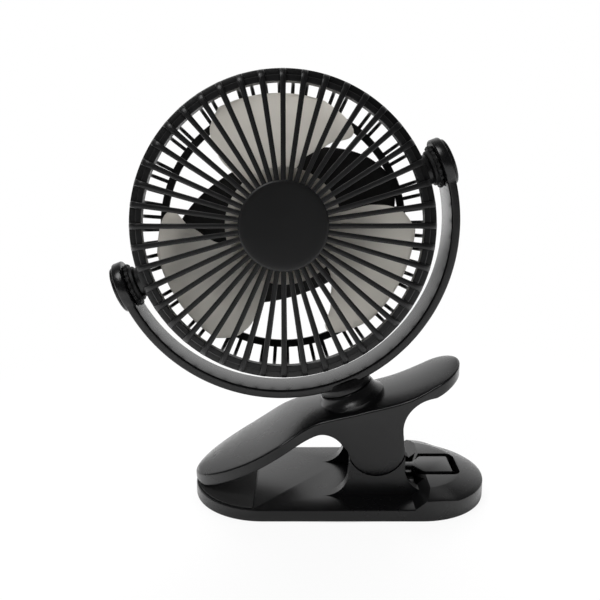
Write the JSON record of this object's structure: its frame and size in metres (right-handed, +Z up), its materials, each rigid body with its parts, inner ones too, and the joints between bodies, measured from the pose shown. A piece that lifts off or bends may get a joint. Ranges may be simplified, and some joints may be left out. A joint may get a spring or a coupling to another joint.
{
  "type": "clip fan",
  "caption": "Clip-on table fan: a round caged fan head tilting and turning in a half-ring yoke on a sprung clamp with an oval base and a fold-out hanging hook.",
  "frame": {"origin": "middle of the underside of the base's rubber sole", "axes": "+X along the clamp from its jaw to its tail, -Y the side that the fan blows to, +Z up; -Z is the outward normal of the resting face"},
  "size_m": [0.181, 0.0724, 0.2057],
  "materials": {
    "shell": "satin black moulded plastic",
    "grille": "satin black moulded plastic",
    "housing": "matt black moulded plastic",
    "blades": "light warm grey moulded plastic, satin",
    "rubber": "matt black rubber",
    "steel": "plain zinc-plated steel",
    "spring": "drawn spring steel",
    "board": "green lacquered board",
    "wrap": "blue shrink wrap",
    "clear": "clear moulded plastic"
  },
  "bodies": {
    "base": {"base_shell": "shell", "bottom_plate": "housing", "base_sole": "rubber", "base_screw_1": "steel", "base_screw_2": "steel", "base_screw_3": "steel", "base_screw_4": "steel", "base_grip_pad": "rubber", "hinge_pin": "steel", "torsion_spring": "spring", "hook_pin": "steel"},
    "hook": {"hanging_hook": "shell"},
    "clip_arm": {"clip_arm": "shell", "jaw_pad": "rubber"},
    "yoke": {"yoke": "shell", "swivel_washer": "steel", "swivel_screw": "steel", "pivot_cap_left": "shell", "pivot_cap_right": "shell"},
    "head": {"drum_shell": "grille", "front_grille": "grille", "rear_grille": "grille", "motor_housing": "housing", "rear_cover": "shell", "housing_screw_1": "steel", "housing_screw_2": "steel", "housing_screw_3": "steel", "housing_screw_4": "steel", "motor": "steel", "battery_pack": "wrap", "circuit_board": "board", "power_socket": "steel", "light_guide": "clear", "ratchet_left": "housing", "ratchet_right": "housing", "pivot_screw_left": "steel", "pivot_screw_right": "steel"},
    "power_button": {"power_button": "shell"},
    "impeller": {"impeller": "blades", "motor_shaft": "steel"}
  },
  "joints": [
    {"name": "clip_hinge", "type": "hinge", "parent": "base", "child": "clip_arm", "pos_m": [0.0168, 0, 0.0308], "axis": [0, 1, 0], "range_deg": [0, 32], "stiffness_Nm_per_rad": 1.6, "springref_deg": -45.84, "deforming": ["torsion_spring"]},
    {"name": "yoke_swivel", "type": "hinge", "parent": "clip_arm", "child": "yoke", "pos_m": [-0.02761, 0, 0.13439], "axis": [-0.3584, 0, 0.9336], "continuous": true},
    {"name": "head_tilt", "type": "hinge", "parent": "yoke", "child": "head", "pos_m": [-0.02761, 0, 0.13439], "axis": [0.9316, 0.0645, 0.3576], "continuous": true},
    {"name": "impeller_spin", "type": "hinge", "parent": "head", "child": "impeller", "pos_m": [-0.02761, 0, 0.13439], "axis": [0.0212, -0.9921, 0.1238], "continuous": true},
    {"name": "power_button_press", "type": "slide", "parent": "head", "child": "power_button", "axis": [0.0212, -0.9921, 0.1238], "range_m": [0, 0.0008], "stiffness_N_per_m": 800, "springref_m": -0.0005},
    {"name": "hook_fold", "type": "hinge", "parent": "base", "child": "hook", "pos_m": [0.0317, 0, 0.0101], "axis": [0, 1, 0], "range_deg": [0, 95]}
  ]
}
